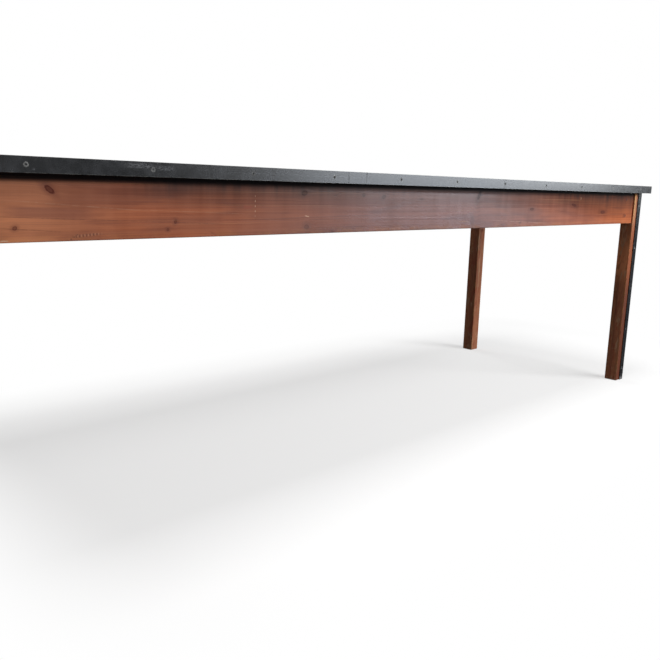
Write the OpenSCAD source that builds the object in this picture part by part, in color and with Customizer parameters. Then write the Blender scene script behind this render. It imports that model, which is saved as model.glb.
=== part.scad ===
// Dining table. Tongue and groove boards lie in a screwed edge of flat steel bar, on battens and a
// knock-down frame: four legs cased in steel angle, aprons tenoned into them, and corner braces that
// hanger bolts draw up tight.
// Millimetres, +X along the table, -Y its front, +Z up. The origin is on the floor under its middle.

/* [Table] */
// Height from the floor to the top of the boards
table_h = 762; // [700:1:920]
// Length over the steel edge
table_l = 2760; // [2200:1:3200]
// Width over the steel edge
table_w = 762; // [700:1:1000]
// How far the top runs past the legs at each end
end_overhang = 64; // [30:1:160]
// How far the top runs past the legs at the front and at the back
side_overhang = 8; // [4:1:30]

/* [Top boards] */
// Thickness of the boards, and the height of the steel edge round them
board_t = 27; // [24:0.5:36]
// Thickness of a tongue
tongue_t = 8; // [6:0.5:10]
// Length of a tongue
tongue_l = 9; // [6:0.5:12]
// Clearance round a tongue in its groove
tongue_gap = 0.3; // [0.1:0.1:0.6]
// Bevel on the edges where two boards meet
board_bevel = 0.8; // [0.4:0.1:2]

/* [Steel edge] */
// Thickness of the flat bar
edge_t = 3.2; // [3:0.1:6]
// Distance from a corner to the first screw along the front and the back
edge_screw_inset = 95; // [60:1:160]
// Distance between the screws along the front and the back, before they are spread evenly
edge_screw_pitch = 234; // [150:1:320]
// Length of the screws
edge_screw_l = 38; // [25:1:45]

/* [Legs] */
// Side of the square wooden leg
leg_w = 47; // [44:1:70]
// Width of the flat that faces the hanger bolts, along each face of the leg
leg_flat = 8; // [5:0.5:10]
// Bevel round the foot
foot_bevel = 1.5; // [0.5:0.5:4]

/* [Leg angle] */
// Width of each flange of the steel angle
angle_w = 25.4; // [22:0.1:40]
// Thickness of its flanges
angle_t = 3.2; // [3:0.1:5]
// Radius in its root
angle_root_r = 4; // [2:0.5:5]
// Radius on its toes
angle_toe_r = 2; // [1:0.25:2.5]
// Distance from each end of the angle to the nearest screw
angle_screw_inset = 48; // [40:1:80]
// Distance between the screws, before they are spread evenly
angle_screw_pitch = 160; // [100:1:220]
// How much lower the screws of the end flange lie, so that they pass those of the front flange
angle_screw_step = 18; // [12:1:30]
// Length of the screws
angle_screw_l = 19; // [14:1:20]

/* [Aprons] */
// Height of the aprons
apron_h = 114; // [100:1:150]
// Thickness of the aprons
apron_t = 22; // [19:0.5:25]
// How far the aprons lie behind the wooden face of the legs
apron_set = 6; // [3:0.5:8]
// Bevel along the lower edges
apron_bevel = 1.5; // [0.5:0.25:3]
// Thickness of a tenon
tenon_t = 9; // [7:0.5:10]
// Shoulder above and below a tenon
tenon_shoulder = 14; // [8:1:20]
// Length of the haunch above a tenon
haunch_l = 8; // [5:0.5:12]
// Clearance on each side of a tenon in its mortise
tenon_gap = 0.2; // [0.1:0.05:0.4]
// Wood left in a leg between its two mortises
mortise_wall = 1.5; // [1:0.25:3]

/* [Corner braces] */
// Thickness of a brace
brace_t = 22; // [18:0.5:28]
// Height of a brace
brace_h = 86; // [76:1:94]
// How far a brace lies below the boards
brace_drop = 12; // [5:1:18]
// Space between a brace and the corner of its leg
brace_gap = 17.5; // [12:0.5:30]
// How far the brace screws lie from the middle of a brace's end, on the side of the leg
brace_screw_shift = 2.5; // [1:0.25:4]
// Length of the brace screws
brace_screw_l = 34; // [30:1:36]
// Height between the two screws in each end of a brace
brace_screw_pitch = 60; // [40:1:64]

/* [Hanger bolts] */
// Height between the two bolts of a brace
bolt_pitch = 40; // [30:1:46]
// Diameter of a hanger bolt
bolt_d = 8; // [6:0.5:8]
// Clearance between a bolt and its hole in the brace
bolt_gap = 0.5; // [0.2:0.1:1]
// Diameter of a washer
washer_d = 22; // [18:1:26]
// Thickness of a washer
washer_t = 1.6; // [1:0.1:2.5]
// Width of a nut across its flats
nut_w = 13; // [12.5:0.1:16]
// Height of a nut
nut_h = 6.5; // [5:0.1:8]
// How far a bolt stands out of its nut
bolt_end = 3; // [1:0.5:8]

/* [Battens] */
// Width of a batten
batten_w = 60; // [45:1:90]
// Thickness of a batten
batten_t = 22; // [18:0.5:30]
// Bevel on the lower corners at its ends
batten_bevel = 10; // [4:1:16]
// Clearance between a batten's end and the apron
batten_gap = 0.8; // [0.3:0.1:0.9]
// Length of the batten screws
batten_screw_l = 40; // [35:1:42]

/* [Top clips] */
// Width of the slot in the aprons that the clips hook into
kerf_w = 3; // [2.5:0.25:5]
// Depth of that slot
kerf_d = 8; // [7:0.5:9]
// Distance from the boards to that slot
kerf_drop = 11; // [8:0.5:14]
// Thickness of a clip
clip_t = 1.6; // [1.2:0.1:2.2]
// Length of a clip along its apron
clip_w = 20; // [14:1:30]
// How far a clip reaches into the slot
clip_bite = 6; // [4:0.5:6.5]
// Space between a clip's riser and the apron
clip_gap = 3; // [1:0.5:5]
// Length of the part of a clip that lies under the boards
clip_reach = 20; // [16:1:30]
// Length of the clip screws
clip_screw_l = 16; // [12:1:20]

/* [Screws] */
// Diameter of a screw's shank
screw_d = 4.2; // [3.5:0.1:5]
// Diameter of a screw's head
screw_head_d = 8.2; // [7.4:0.1:9.5]
// Width of the hex socket in a screw's head
screw_socket = 3; // [2:0.25:4]
// Depth of the socket
screw_socket_deep = 1.4; // [0.8:0.1:1.8]
// Clearance round a screw in its hole
screw_gap = 0.1; // [0.05:0.05:0.2]

/* [Hidden] */

$fn = 48;

// Overshoot of a cutting shape past the face that it opens
cut = 1;

// The four sides, counted as quarter turns from the front
FRONT = 0;
RIGHT = 1;
BACK = 2;
LEFT = 3;

// The boards and the battens, one node each
plank_n = 5;
batten_n = 5;

// Heights
leg_h = table_h - board_t;
board_mid_z = table_h - board_t / 2;
brace_mid_z = leg_h - brace_drop - brace_h / 2;

// The leg frame, measured over the steel angles
frame_l = table_l - 2 * end_overhang;
frame_w = table_w - 2 * side_overhang;

// Half the size of the top and of the leg frame across a side's own direction and along it
function half_out(side) = side % 2 == 0 ? table_w / 2 : table_l / 2;
function half_along(side) = side % 2 == 0 ? table_l / 2 : table_w / 2;
function frame_out(side) = side % 2 == 0 ? frame_w / 2 : frame_l / 2;
function frame_along(side) = side % 2 == 0 ? frame_l / 2 : frame_w / 2;

// Boards: the width that shows, and the heights of tongue and groove above the underside
plank_w = (table_w - 2 * edge_t) / plank_n;
plank_l = table_l - 2 * edge_t;
tongue_lo = (board_t - tongue_t) / 2;
tongue_hi = (board_t + tongue_t) / 2;

// From the steel face of the legs to the outer and inner faces of the aprons
apron_out = angle_t + apron_set;
apron_in = apron_out + apron_t;

// Tenons: the faces and the tip, measured from the outer wooden corner of the leg
tenon_lo = apron_set + (apron_t - tenon_t) / 2;
tenon_hi = apron_set + (apron_t + tenon_t) / 2;
tenon_tip = tenon_hi + 2 * tenon_gap + mortise_wall;
tenon_l = leg_w - tenon_tip;

// Distances along the diagonal from the outer wooden corner of the leg
bolt_tip = sqrt(2) * (tenon_hi + tenon_gap + mortise_wall) + bolt_d / 2;
brace_near = sqrt(2) * leg_w + brace_gap;
brace_far = brace_near + brace_t;
nut_far = brace_far + washer_t + nut_h;
bolt_l = nut_far + bolt_end - bolt_tip;

// Where a brace's end meets an apron: its screws' distance from the steel face of the leg
brace_screw_at = (brace_near + brace_far) / sqrt(2) - (apron_set + apron_t) + angle_t - brace_screw_shift;

// Screws: heights, rows and spacing
screw_head_h = (screw_head_d - screw_d) / 2;
edge_screw_n = 1 + round((table_l - 2 * edge_screw_inset) / edge_screw_pitch);
angle_screw_n = 1 + round((leg_h - 2 * angle_screw_inset) / angle_screw_pitch);
angle_screw_at = (angle_w + angle_t) / 2;

// n places spread evenly from -half to half
function spread(half, n) = [for (i = [0:n - 1]) -half + 2 * half * i / (n - 1)];

front_screw_places = spread(table_l / 2 - edge_screw_inset, edge_screw_n);
plank_places = spread(plank_w * (plank_n - 1) / 2, plank_n);

// The battens divide the length between the end aprons into equal bays, with a clip in each
bay_l = (frame_l - 2 * apron_in) / (batten_n + 1);
batten_places = spread(bay_l * (batten_n - 1) / 2, batten_n);
bay_places = spread(bay_l * batten_n / 2, batten_n + 1);
end_clip_places = [-plank_w, plank_w];

wood = "#9c5f3e";
top_wood = "#a9714c";
hidden_wood = "#b98a5c";
black_steel = "#2e3033";
dark_screw = "#1d1e20";
zinc = "#a9abad";

// Placing

// Turns children that are drawn for the front so that they serve another side
module on_side(side) {
    rotate([0, 0, 90 * side]) children();
}

// Puts children at the outer corner of a leg, with +X and +Y running inwards
module at_corner(sx, sy) {
    translate([sx * frame_l / 2, sy * frame_w / 2, 0])
        mirror([sx > 0 ? 1 : 0, 0, 0])
            mirror([0, sy > 0 ? 1 : 0, 0]) children();
}

module at_all_corners() {
    for (sx = [-1, 1])
        for (sy = [-1, 1])
            at_corner(sx, sy) children();
}

// Turns a screw's own down into +Y, so that it goes into a face that looks to the front
module into_front_face() {
    rotate([90, 0, 0]) children();
}

// Swaps X and Y in a corner's frame, for what its two sides have alike
module both_sides() {
    children();
    mirror([1, -1, 0]) children();
}

// Runs children's +Z from the outer wooden corner of the leg along the diagonal, at the bolts' heights
module on_bolt_axes() {
    for (z = [-1, 1])
        translate([angle_t, angle_t, brace_mid_z + z * bolt_pitch / 2])
            rotate([0, 0, 45])
                rotate([0, 90, 0]) children();
}

// Screws, drawn pointing down from a head that is level with z = 0

module flat_screw(length) {
    difference() {
        rotate_extrude() polygon([
            [0, 0],
            [screw_head_d / 2, 0],
            [screw_d / 2, -screw_head_h],
            [screw_d / 2, screw_d - length],
            [0, -length]
        ]);
        translate([0, 0, -screw_socket_deep])
            cylinder(d = screw_socket / cos(30), h = screw_socket_deep + cut, $fn = 6);
    }
}

// The space that a flat screw needs, open above its head
module flat_screw_hole(length) {
    shank_r = screw_d / 2 + screw_gap;
    head_r = screw_head_d / 2 + screw_gap;
    rotate_extrude() polygon([
        [0, cut],
        [head_r, cut],
        [head_r, 0],
        [shank_r, -screw_head_h],
        [shank_r, -length - screw_gap],
        [0, -length - screw_gap]
    ]);
}

module pan_screw(length) {
    head_r = screw_head_d / 2;
    dome = screw_head_h / 2;
    rotate_extrude() polygon([
        [0, screw_head_h],
        [head_r - dome, screw_head_h],
        [head_r, dome],
        [head_r, 0],
        [screw_d / 2, 0],
        [screw_d / 2, screw_d - length],
        [0, -length]
    ]);
}

module shank_hole(length) {
    translate([0, 0, -length - screw_gap])
        cylinder(d = screw_d + 2 * screw_gap, h = length + screw_gap + cut);
}

// Where the screws of each row stand

module at_edge_screws(side) {
    places = side % 2 == 0 ? front_screw_places : plank_places;
    on_side(side)
        for (x = places)
            translate([x, -half_out(side), board_mid_z])
                into_front_face() children();
}

// Both flanges of one angle, in a corner's frame. The end flange's row lies lower.
module at_angle_screws() {
    low = angle_screw_inset;
    step = (leg_h - 2 * low) / (angle_screw_n - 1);
    for (i = [0:angle_screw_n - 1]) {
        translate([angle_screw_at, 0, low + i * step])
            into_front_face() children();
        mirror([1, -1, 0])
            translate([angle_screw_at, 0, low + i * step - angle_screw_step])
                into_front_face() children();
    }
}

module at_brace_screws() {
    both_sides()
        for (z = [-1, 1])
            translate([brace_screw_at, apron_out, brace_mid_z + z * brace_screw_pitch / 2])
                into_front_face() children();
}

module at_batten_screws(places) {
    for (x = places)
        for (y = plank_places)
            translate([x, y, leg_h - batten_t])
                mirror([0, 0, 1]) children();
}

// The middle of each clip, at the apron's inner face and the underside of the boards
module at_clips() {
    for (side = [FRONT:LEFT]) {
        places = side % 2 == 0 ? bay_places : end_clip_places;
        on_side(side)
            for (x = places)
                translate([x, apron_in - frame_out(side), leg_h]) children();
    }
}

module at_clip_screws() {
    at_clips()
        translate([0, clip_gap + clip_t + (clip_reach - clip_t) / 2, -clip_t])
            mirror([0, 0, 1]) children();
}

// Top

// A board's section in Y and Z from the corner of its underside, tongue towards +Y
function board_section(groove, tongue) = let(
        low_y = groove ? board_bevel : 0,
        high_y = tongue ? board_bevel : 0,
        deep = tongue_l + tongue_gap
    ) concat(
        [[low_y, 0], [plank_w - high_y, 0]],
        tongue ? [
            [plank_w, board_bevel],
            [plank_w, tongue_lo],
            [plank_w + tongue_l, tongue_lo],
            [plank_w + tongue_l, tongue_hi],
            [plank_w, tongue_hi],
            [plank_w, board_t - board_bevel]
        ] : [],
        [[plank_w - high_y, board_t], [low_y, board_t]],
        groove ? [
            [0, board_t - board_bevel],
            [0, tongue_hi + tongue_gap],
            [deep, tongue_hi + tongue_gap],
            [deep, tongue_lo - tongue_gap],
            [0, tongue_lo - tongue_gap],
            [0, board_bevel]
        ] : []
    );

module plank(number) {
    color(top_wood) difference() {
        translate([-plank_l / 2, edge_t - table_w / 2 + (number - 1) * plank_w, leg_h])
            rotate([90, 0, 90])
                linear_extrude(plank_l)
                    polygon(board_section(number > 1, number < plank_n));
        for (side = [FRONT:LEFT])
            at_edge_screws(side) shank_hole(edge_screw_l);
        at_batten_screws(batten_places) shank_hole(batten_screw_l);
        at_clip_screws() shank_hole(clip_screw_l);
    }
}

// A flat bar on edge, mitred into its neighbours
module edge_bar(side) {
    out = half_out(side);
    half = half_along(side);
    color(black_steel) difference() {
        on_side(side)
            translate([0, 0, leg_h])
                linear_extrude(board_t) polygon([
                    [-half, -out],
                    [half, -out],
                    [half - edge_t, edge_t - out],
                    [edge_t - half, edge_t - out]
                ]);
        at_edge_screws(side) flat_screw_hole(edge_screw_l);
    }
}

module edge_screws(side) {
    color(dark_screw) at_edge_screws(side) flat_screw(edge_screw_l);
}

// Legs

// One mortise and its haunch, for the apron that runs along +X
module mortise() {
    width = tenon_t + 2 * tenon_gap;
    low = leg_h - apron_h + tenon_shoulder - tenon_gap;
    translate([tenon_tip - tenon_gap, tenon_lo - tenon_gap, low])
        cube([tenon_l + tenon_gap + cut, width, apron_h - 2 * tenon_shoulder + 2 * tenon_gap]);
    translate([leg_w - haunch_l - tenon_gap, tenon_lo - tenon_gap, leg_h - tenon_shoulder])
        cube([haunch_l + tenon_gap + cut, width, tenon_shoulder + cut]);
}

// A triangular cut along a vertical corner at the origin, its legs along +X and +Y
module corner_bevel(size, height) {
    linear_extrude(height) polygon([[-cut, -cut], [size + cut, -cut], [-cut, size + cut]]);
}

// Bevels the foot along the face that lies in y = 0
module foot_cut() {
    rotate([90, 0, 90])
        translate([0, 0, -cut])
            linear_extrude(leg_w + 2 * cut)
                polygon([[-cut, -cut], [foot_bevel + cut, -cut], [-cut, foot_bevel + cut]]);
}

module leg_wood() {
    difference() {
        cube([leg_w, leg_w, leg_h]);
        // The outer corner clears the root of the angle
        translate([0, 0, -cut]) corner_bevel(angle_root_r, leg_h + 2 * cut);
        // The flat for the hanger bolts is on the inner corner, behind the brace
        translate([leg_w, leg_w, leg_h - apron_h])
            rotate([0, 0, 180]) corner_bevel(leg_flat, apron_h + cut);
        both_sides() mortise();
        // Foot bevels on the two bare faces
        translate([leg_w, leg_w, 0])
            rotate([0, 0, 180]) both_sides() foot_cut();
    }
}

module leg(sx, sy) {
    color(wood) at_corner(sx, sy) difference() {
        translate([angle_t, angle_t, 0]) leg_wood();
        at_angle_screws() shank_hole(angle_screw_l);
        on_bolt_axes() translate([0, 0, bolt_tip - screw_gap])
            cylinder(d = bolt_d + 2 * screw_gap, h = brace_near - bolt_tip);
    }
}

// The square corner between a round of radius r and the two lines that it touches
module round_off(r) {
    difference() {
        translate([-cut, -cut]) square(r + cut);
        translate([r, r]) circle(r);
    }
}

// Section of the angle: round root, round toes, square heel
module angle_section() {
    difference() {
        square(angle_w);
        translate([angle_t, angle_t]) difference() {
            square(angle_w);
            round_off(angle_root_r);
        }
        translate([angle_w, angle_t]) rotate(180) round_off(angle_toe_r);
        translate([angle_t, angle_w]) rotate(180) round_off(angle_toe_r);
    }
}

module leg_angle(sx, sy) {
    color(black_steel) at_corner(sx, sy) difference() {
        linear_extrude(leg_h) angle_section();
        at_angle_screws() flat_screw_hole(angle_screw_l);
    }
}

module leg_angle_screws(sx, sy) {
    color(dark_screw) at_corner(sx, sy) at_angle_screws() flat_screw(angle_screw_l);
}

// Aprons

// An apron's section in Y and Z, from its outer face and its lower edge, with the clips' slot
function apron_section() = let(
        slot_hi = apron_h - kerf_drop,
        slot_lo = slot_hi - kerf_w
    ) [
        [apron_bevel, 0],
        [apron_t - apron_bevel, 0],
        [apron_t, apron_bevel],
        [apron_t, slot_lo],
        [apron_t - kerf_d, slot_lo],
        [apron_t - kerf_d, slot_hi],
        [apron_t, slot_hi],
        [apron_t, apron_h],
        [0, apron_h],
        [0, apron_bevel]
    ];

// The tenon of an apron's +X end, from its shoulder, with the haunch that fills the top of the mortise
module tenon() {
    translate([0, (apron_t - tenon_t) / 2, tenon_shoulder])
        cube([tenon_l, tenon_t, apron_h - 2 * tenon_shoulder]);
    translate([0, (apron_t - tenon_t) / 2, tenon_shoulder])
        cube([haunch_l, tenon_t, apron_h - tenon_shoulder]);
}

module apron(side) {
    half = frame_along(side) - angle_t - leg_w;
    color(wood) difference() {
        on_side(side)
            translate([0, apron_out - frame_out(side), leg_h - apron_h]) {
                translate([-half, 0, 0])
                    rotate([90, 0, 90])
                        linear_extrude(2 * half) polygon(apron_section());
                for (end = [0, 1])
                    mirror([end, 0, 0]) translate([half, 0, 0]) tenon();
            }
        at_all_corners() at_brace_screws() flat_screw_hole(brace_screw_l);
    }
}

// Corner braces and their bolts

module corner_brace(sx, sy) {
    // The brace's two lines across the corner, and the aprons' inner faces that it stops at
    near = sqrt(2) * brace_near;
    far = sqrt(2) * brace_far;
    face = apron_set + apron_t;
    color(hidden_wood) at_corner(sx, sy) difference() {
        translate([angle_t, angle_t, brace_mid_z - brace_h / 2])
            linear_extrude(brace_h) polygon([
                [near - face, face],
                [far - face, face],
                [face, far - face],
                [face, near - face]
            ]);
        at_brace_screws() shank_hole(brace_screw_l);
        on_bolt_axes() translate([0, 0, brace_near - cut])
            cylinder(d = bolt_d + 2 * bolt_gap, h = brace_t + 2 * cut);
    }
}

module brace_screws() {
    color(dark_screw) at_all_corners() at_brace_screws() flat_screw(brace_screw_l);
}

// A pointed wood end in the leg and a blunt end in the nut
module hanger_bolt() {
    rotate_extrude() polygon([
        [0, bolt_tip],
        [bolt_d / 2, bolt_tip + bolt_d / 2],
        [bolt_d / 2, bolt_tip + bolt_l - 1],
        [bolt_d / 2 - 1, bolt_tip + bolt_l],
        [0, bolt_tip + bolt_l]
    ]);
}

module washer() {
    translate([0, 0, brace_far]) difference() {
        cylinder(d = washer_d, h = washer_t);
        translate([0, 0, -cut]) cylinder(d = bolt_d + 2 * bolt_gap, h = washer_t + 2 * cut);
    }
}

module nut() {
    translate([0, 0, brace_far + washer_t]) difference() {
        cylinder(d = nut_w / cos(30), h = nut_h, $fn = 6);
        translate([0, 0, -cut]) cylinder(d = bolt_d + 2 * screw_gap, h = nut_h + 2 * cut);
    }
}

module hanger_bolts() {
    color(zinc) at_all_corners() on_bolt_axes() hanger_bolt();
}

module hanger_washers() {
    color(zinc) at_all_corners() on_bolt_axes() washer();
}

module hanger_nuts() {
    color(zinc) at_all_corners() on_bolt_axes() nut();
}

// Battens and clips under the boards

module batten(number) {
    half = frame_w / 2 - apron_in - batten_gap;
    place = batten_places[number - 1];
    color(hidden_wood) difference() {
        translate([place - batten_w / 2, 0, leg_h])
            rotate([90, 0, 90])
                linear_extrude(batten_w) polygon([
                    [-half, 0],
                    [-half, batten_bevel - batten_t],
                    [batten_bevel - half, -batten_t],
                    [half - batten_bevel, -batten_t],
                    [half, batten_bevel - batten_t],
                    [half, 0]
                ]);
        at_batten_screws([place]) flat_screw_hole(batten_screw_l);
    }
}

module batten_screws() {
    color(zinc) at_batten_screws(batten_places) flat_screw(batten_screw_l);
}

// A bent strip: it hooks into the apron's slot, rises, and lies under the boards
module top_clip() {
    riser = clip_gap + clip_t;
    difference() {
        translate([-clip_w / 2, 0, 0])
            rotate([90, 0, 90])
                linear_extrude(clip_w) polygon([
                    [-clip_bite, -kerf_drop],
                    [-clip_bite, -kerf_drop - clip_t],
                    [riser, -kerf_drop - clip_t],
                    [riser, -clip_t],
                    [clip_gap + clip_reach, -clip_t],
                    [clip_gap + clip_reach, 0],
                    [clip_gap, 0],
                    [clip_gap, -kerf_drop]
                ]);
        translate([0, riser + (clip_reach - clip_t) / 2, -clip_t - cut])
            cylinder(d = screw_d + 2 * screw_gap, h = clip_t + 2 * cut);
    }
}

module top_clips() {
    color(zinc) at_clips() top_clip();
}

module clip_screws() {
    color(zinc) at_clip_screws() pan_screw(clip_screw_l);
}

plank(1);  // plank_1
plank(2);  // plank_2
plank(3);  // plank_3
plank(4);  // plank_4
plank(5);  // plank_5
edge_bar(FRONT);  // edge_bar_front
edge_bar(RIGHT);  // edge_bar_right
edge_bar(BACK);  // edge_bar_back
edge_bar(LEFT);  // edge_bar_left
edge_screws(FRONT);  // edge_screws_front
edge_screws(RIGHT);  // edge_screws_right
edge_screws(BACK);  // edge_screws_back
edge_screws(LEFT);  // edge_screws_left
leg(-1, -1);  // leg_front_left
leg(1, -1);  // leg_front_right
leg(-1, 1);  // leg_back_left
leg(1, 1);  // leg_back_right
leg_angle(-1, -1);  // leg_angle_front_left
leg_angle(1, -1);  // leg_angle_front_right
leg_angle(-1, 1);  // leg_angle_back_left
leg_angle(1, 1);  // leg_angle_back_right
leg_angle_screws(-1, -1);  // leg_angle_screws_front_left
leg_angle_screws(1, -1);  // leg_angle_screws_front_right
leg_angle_screws(-1, 1);  // leg_angle_screws_back_left
leg_angle_screws(1, 1);  // leg_angle_screws_back_right
apron(FRONT);  // apron_front
apron(RIGHT);  // apron_right
apron(BACK);  // apron_back
apron(LEFT);  // apron_left
corner_brace(-1, -1);  // corner_brace_front_left
corner_brace(1, -1);  // corner_brace_front_right
corner_brace(-1, 1);  // corner_brace_back_left
corner_brace(1, 1);  // corner_brace_back_right
brace_screws();
hanger_bolts();
hanger_washers();
hanger_nuts();
batten(1);  // batten_1
batten(2);  // batten_2
batten(3);  // batten_3
batten(4);  // batten_4
batten(5);  // batten_5
batten_screws();
top_clips();
clip_screws();
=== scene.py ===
"""Looks of the dining table: stained pine, a blackened steel edge and steel angles on the legs."""

import math
import random

import bmesh
import bpy
from mathutils import Matrix, Vector, noise

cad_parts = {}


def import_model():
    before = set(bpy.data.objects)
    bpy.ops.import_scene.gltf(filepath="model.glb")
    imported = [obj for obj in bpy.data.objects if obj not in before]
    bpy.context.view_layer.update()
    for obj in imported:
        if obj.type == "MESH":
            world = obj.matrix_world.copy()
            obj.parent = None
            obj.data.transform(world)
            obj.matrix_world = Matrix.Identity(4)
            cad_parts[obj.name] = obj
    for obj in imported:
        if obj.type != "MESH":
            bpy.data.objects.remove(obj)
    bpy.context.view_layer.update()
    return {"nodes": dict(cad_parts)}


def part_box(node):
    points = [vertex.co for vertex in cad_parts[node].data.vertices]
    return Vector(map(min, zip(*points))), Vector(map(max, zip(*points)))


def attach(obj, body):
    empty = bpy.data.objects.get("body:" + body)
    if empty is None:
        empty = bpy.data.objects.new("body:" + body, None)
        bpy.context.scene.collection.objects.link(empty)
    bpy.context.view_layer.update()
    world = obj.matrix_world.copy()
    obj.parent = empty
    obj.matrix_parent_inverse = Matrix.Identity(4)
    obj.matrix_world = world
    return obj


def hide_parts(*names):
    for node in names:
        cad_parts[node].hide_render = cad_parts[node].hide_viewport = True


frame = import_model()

# Lengths are in metres. MM turns millimetres into them.
MM = 0.001
SIDES = ("front", "right", "back", "left")
CORNERS = ("front_left", "front_right", "back_left", "back_right")
PLANKS = 5
BATTENS = 5

# Sizes that the CAD model has and its boxes don't tell
TONGUE = 9 * MM
TONGUE_LOW = 9.5 * MM
TONGUE_HIGH = 17.5 * MM
TONGUE_GAP = 0.3 * MM
KERF_HIGH = 103 * MM
KERF_LOW = 100 * MM
KERF_DEPTH = 8 * MM
LEG_FLAT = 8 * MM
ROOT_CLEAR = 4 * MM
TENON = 20 * MM
SCREW_HEAD = 8.2 * MM
SCREW_SHANK = 4.2 * MM
SOCKET_R = 1.75 * MM
SOCKET_DEPTH = 1.4 * MM
BAR_SCREW = 38 * MM
ANGLE_SCREW = 19 * MM
BRACE_SCREW = 34 * MM

# Rows of screws: the first one along each face and the step to the next. Each board has an end screw.
HEAD_REACH = 4.35 * MM
BOARD_PITCH = 0.15112
BAR_SCREWS = (-1.285, 2.57 / 11)
END_SCREWS = (0.0, BOARD_PITCH)
ANGLE_SCREWS = (0.048, 0.15975)
ANGLE_STEP = 18 * MM
ANGLE_INSET = 14.3 * MM
BRACE_DOTS = [(x, z) for x in (-1.197, 1.197) for z in (0.65, 0.71)]


def to_linear(level):
    """A level from 0 to 255, as a picture shows it, turned into the linear one that shaders use."""
    share = level / 255
    return share / 12.92 if share <= 0.04045 else ((share + 0.055) / 1.055) ** 2.4


def srgb(red, green, blue):
    return (to_linear(red), to_linear(green), to_linear(blue), 1.0)


# Shader graphs


def operation(name):
    """A method of Graph that adds one math node."""
    return lambda graph, *values: graph.math(name, *values)


class Graph:
    """Adds nodes to a material, so that a shader reads like the formula that it is. Each node is made
    after those that feed it: Cycles then holds few values at a time, and large graphs fit its stack."""

    add = operation("ADD")
    sub = operation("SUBTRACT")
    mul = operation("MULTIPLY")
    # mad(a, b, c) is a times b plus c
    mad = operation("MULTIPLY_ADD")
    least = operation("MINIMUM")
    most = operation("MAXIMUM")
    size = operation("ABSOLUTE")

    def __init__(self, name, kind=bpy.data.materials):
        self.owner = kind.new(name)
        self.owner.use_nodes = True
        self.tree = self.owner.node_tree
        self.tree.nodes.clear()

    def put(self, value, socket):
        """Links value into socket if it is a socket itself, and otherwise sets it there."""
        if isinstance(value, bpy.types.NodeSocket):
            self.tree.links.new(value, socket)
        elif value is not None:
            socket.default_value = value

    def fill(self, node, **values):
        """Puts values into a node's sockets by name, where _ stands for a space."""
        for name, value in values.items():
            self.put(value, node.inputs[name.replace("_", " ")])
        return node

    def node(self, kind, *values, **settings):
        """A node with these settings, whose first sockets get these values."""
        made = self.tree.nodes.new("ShaderNode" + kind)
        for key, value in settings.items():
            setattr(made, key, value)
        for value, socket in zip(values, made.inputs):
            self.put(value, socket)
        return made

    def math(self, operation, *values):
        return self.node("Math", *values, operation=operation).outputs[0]

    def gap(self, a, b):
        """How far a is from b."""
        return self.size(self.sub(a, b))

    def length(self, a, b):
        """The length of the vector (a, b)."""
        return self.math("SQRT", self.add(self.mul(a, a), self.mul(b, b)))

    def step(self, value, low, high, start=0.0, end=1.0):
        """start below low, end above high, and a smooth step between them, which needs no clamp."""
        smooth = {"interpolation_type": "SMOOTHSTEP", "clamp": False}
        return self.node("MapRange", value, low, high, start, end, **smooth).outputs[0]

    def fade(self, value, low, high, start=1.0):
        """start below low, 0 above high, and a smooth step between them."""
        return self.step(value, low, high, start, 0.0)

    def vector(self, x, y, z):
        return self.node("CombineXYZ", x, y, z).outputs[0]

    def split(self, vector):
        return self.node("SeparateXYZ", vector).outputs

    def attribute(self, name, output):
        return self.node("Attribute", attribute_name=name).outputs[output]

    def place(self):
        """Where a point lies in the table's frame."""
        return self.node("TexCoord").outputs["Object"]

    def noise(self, vector, factors, detail=2.0, roughness=0.5, distortion=0.0):
        """Noise from 0 to 1 whose waves are 1 / factor long on each axis."""
        spot = self.node("VectorMath", vector, factors, operation="MULTIPLY").outputs[0]
        made = self.node("TexNoise")
        self.fill(made, Vector=spot, Scale=1.0, Detail=detail, Roughness=roughness, Distortion=distortion)
        return made.outputs["Fac"]

    def patches(self, vector, factors, low, high, *shape):
        """0 where that noise is below low, and 1 where it is above high."""
        return self.step(self.noise(vector, factors, *shape), low, high)

    def white(self, value):
        made = self.node("TexWhiteNoise", noise_dimensions="1D")
        return self.fill(made, W=value).outputs["Value"]

    def mix(self, share, first, second, blend="MIX"):
        made = self.node("Mix", share, data_type="RGBA", blend_type=blend)
        self.put(first, made.inputs[6])
        self.put(second, made.inputs[7])
        return made.outputs[2]

    def bump(self, height, distance):
        return self.fill(self.node("Bump"), Distance=distance, Height=height).outputs[0]

    def finish(self, shader, kind="Material"):
        """Makes shader the output and gives back the material, or the world, that it belongs to."""
        self.node("Output" + kind, shader.outputs[0])
        return self.owner

    def surface(self, color, roughness, normal, **others):
        shader = self.node("BsdfPrincipled")
        self.fill(shader, Base_Color=color, Roughness=roughness, Normal=normal, **others)
        return self.finish(shader)


def to_row(g, value, row):
    """The distance from value to the nearest place of a row of screws."""
    first, pitch = row
    return g.math("PINGPONG", g.sub(value, first), pitch / 2)


def stretch(g, along, ends):
    """1 between the two middle ones of four places along a board, fading to 0 at the outer ones."""
    return g.mul(g.step(along, *ends[:2]), g.fade(along, *ends[2:]))


def turned(g, along, across, at, tilt):
    """How far a point is from the place at, along and across a line that is tilted by tilt degrees."""
    turn = math.radians(tilt)
    dx, dz = g.sub(along, at[0]), g.sub(across, at[1])
    u = g.mad(dx, math.cos(turn), g.mul(dz, math.sin(turn)))
    v = g.mad(dz, math.cos(turn), g.mul(dx, -math.sin(turn)))
    return u, v


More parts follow.
